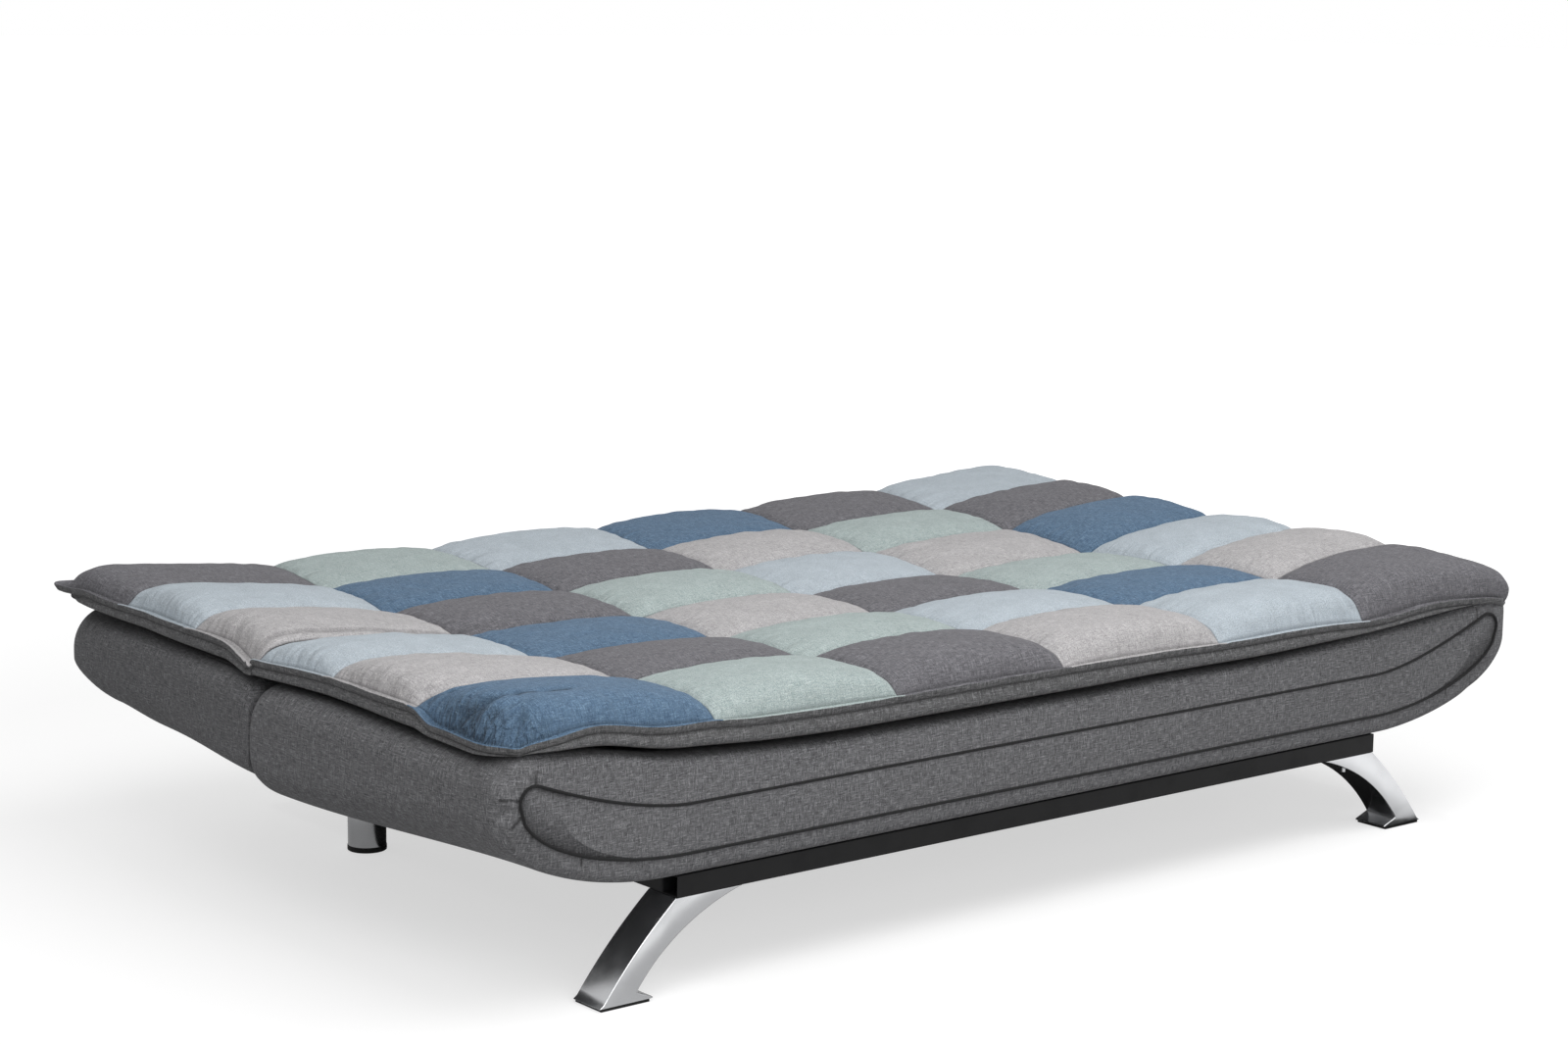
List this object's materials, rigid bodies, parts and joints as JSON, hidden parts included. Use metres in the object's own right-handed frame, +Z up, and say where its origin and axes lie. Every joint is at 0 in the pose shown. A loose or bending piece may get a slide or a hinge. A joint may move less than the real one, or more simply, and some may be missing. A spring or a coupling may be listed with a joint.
{
  "type": "sofa bed",
  "caption": "Click clack sofa bed folded flat: quilted patchwork pads on a hinged seat and back, a black base frame, curved chrome front legs and round rear legs.",
  "frame": {"origin": "on the floor under the middle of the fold between the seat and the back, which is the bottom centre of the box of the flat bed", "axes": "+X along the length, to the right seen from the front; -Y towards the front with the curved legs; +Z up"},
  "size_m": [1.97, 1.25, 0.4538],
  "materials": {
    "pad_fabric": "patchwork of woven cloth in blue, pale blue, mint, beige and dark grey, with a grey band",
    "body_fabric": "heathered grey woven cloth",
    "piping": "black covered cord",
    "foam": "cut foam, hidden",
    "dust_cover": "black lining cloth",
    "frame_steel": "dark powder coat",
    "bright_steel": "zinc plated",
    "black_rail": "matte black paint",
    "leg_chrome": "polished chrome plate",
    "glide_rubber": "black moulded rubber"
  },
  "bodies": {
    "base_and_seat": {"seat_pad": "pad_fabric", "seat_front_bolster": "body_fabric", "seat_end_bolster_right": "body_fabric", "seat_end_bolster_left": "body_fabric", "seat_rear_border": "body_fabric", "seat_front_panel": "body_fabric", "seat_front_piping": "piping", "seat_foam": "foam", "seat_dust_cover": "dust_cover", "seat_frame_front": "frame_steel", "seat_frame_rear": "frame_steel", "seat_frame_side_right": "frame_steel", "seat_frame_side_left": "frame_steel", "hinge_seat_plate_right": "frame_steel", "hinge_seat_plate_left": "frame_steel", "seat_spring_1": "bright_steel", "seat_spring_2": "bright_steel", "seat_spring_3": "bright_steel", "seat_spring_4": "bright_steel", "hinge_pin_right": "bright_steel", "hinge_pin_left": "bright_steel", "pawl_pin_right": "bright_steel", "pawl_pin_left": "bright_steel", "pawl_spring_right": "bright_steel", "pawl_spring_left": "bright_steel", "front_leg_bolt_right": "bright_steel", "front_leg_bolt_left": "bright_steel", "base_front_rail": "black_rail", "base_rear_rail": "black_rail", "base_cross_bar": "black_rail", "base_side_rail_right": "black_rail", "base_side_rail_left": "black_rail", "rear_leg_plate_right": "black_rail", "rear_leg_plate_left": "black_rail", "front_leg_right": "leg_chrome", "front_leg_left": "leg_chrome", "rear_leg_right": "leg_chrome", "rear_leg_left": "leg_chrome", "front_foot_pad_right": "glide_rubber", "front_foot_pad_left": "glide_rubber", "rear_leg_glide_right": "glide_rubber", "rear_leg_glide_left": "glide_rubber"},
    "back": {"back_pad": "pad_fabric", "back_rear_bolster": "body_fabric", "back_end_bolster_right": "body_fabric", "back_end_bolster_left": "body_fabric", "back_front_border": "body_fabric", "back_rear_cover": "body_fabric", "back_foam": "foam", "back_frame_front": "frame_steel", "back_frame_rear": "frame_steel", "back_frame_side_right": "frame_steel", "back_frame_side_left": "frame_steel", "hinge_back_plate_right": "frame_steel", "hinge_back_plate_left": "frame_steel", "back_spring_1": "bright_steel", "back_spring_2": "bright_steel", "back_spring_3": "bright_steel"},
    "pawl_left": {"ratchet_pawl_left": "frame_steel"},
    "pawl_right": {"ratchet_pawl_right": "frame_steel"}
  },
  "joints": [
    {"name": "back_fold", "type": "hinge", "parent": "base_and_seat", "child": "back", "pos_m": [0, 0, 0.345], "axis": [1, 0, 0], "range_deg": [0, 75]},
    {"name": "pawl_left_lift", "type": "hinge", "parent": "base_and_seat", "child": "pawl_left", "pos_m": [-0.6981, -0.05, 0.253], "axis": [-1, 0, 0], "range_deg": [0, 10], "stiffness_Nm_per_rad": 0.5, "springref_deg": -20.05},
    {"name": "pawl_right_lift", "type": "hinge", "parent": "base_and_seat", "child": "pawl_right", "pos_m": [0.6981, -0.05, 0.253], "axis": [-1, 0, 0], "range_deg": [0, 10], "stiffness_Nm_per_rad": 0.5, "springref_deg": -20.05}
  ]
}
